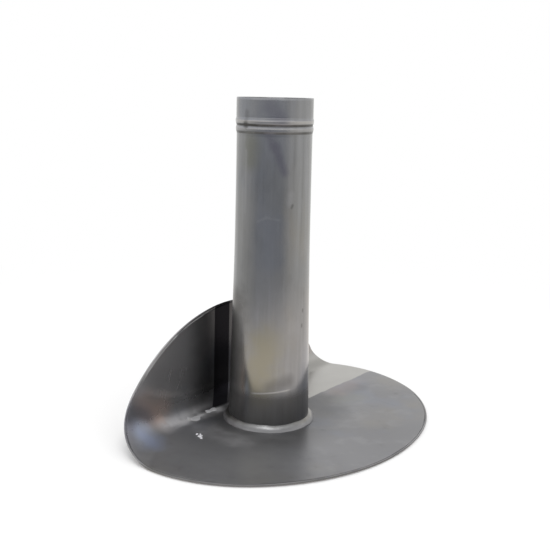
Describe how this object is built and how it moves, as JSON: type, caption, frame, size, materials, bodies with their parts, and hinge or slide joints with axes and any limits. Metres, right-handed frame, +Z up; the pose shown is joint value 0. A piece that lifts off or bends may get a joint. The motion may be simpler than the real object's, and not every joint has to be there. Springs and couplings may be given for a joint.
{
  "type": "lead roof outlet",
  "caption": "Lead roof outlet: an upright round pipe with a slightly wider foot and a beaded end, burned into an oval lead sheet whose rear part is folded up as a flap.",
  "frame": {"origin": "on the pipe's axis, at the underside of the flat part of the sheet, which is also the pipe's lower mouth", "axes": "+Z up the pipe, +X along the fold and the oval's long axis, +Y towards the upright flap"},
  "size_m": [0.381, 0.232, 0.35],
  "materials": {
    "lead_sheet": "new milled lead, satin, lightly scratched",
    "lead_pipe": "new milled lead, satin, faint rolling streaks",
    "lead_seam": "bright lead run by hand, slightly rippled"
  },
  "bodies": {
    "root": {"flange_sheet": "lead_sheet", "outlet_pipe": "lead_pipe", "burned_seam": "lead_seam"}
  },
  "joints": []
}
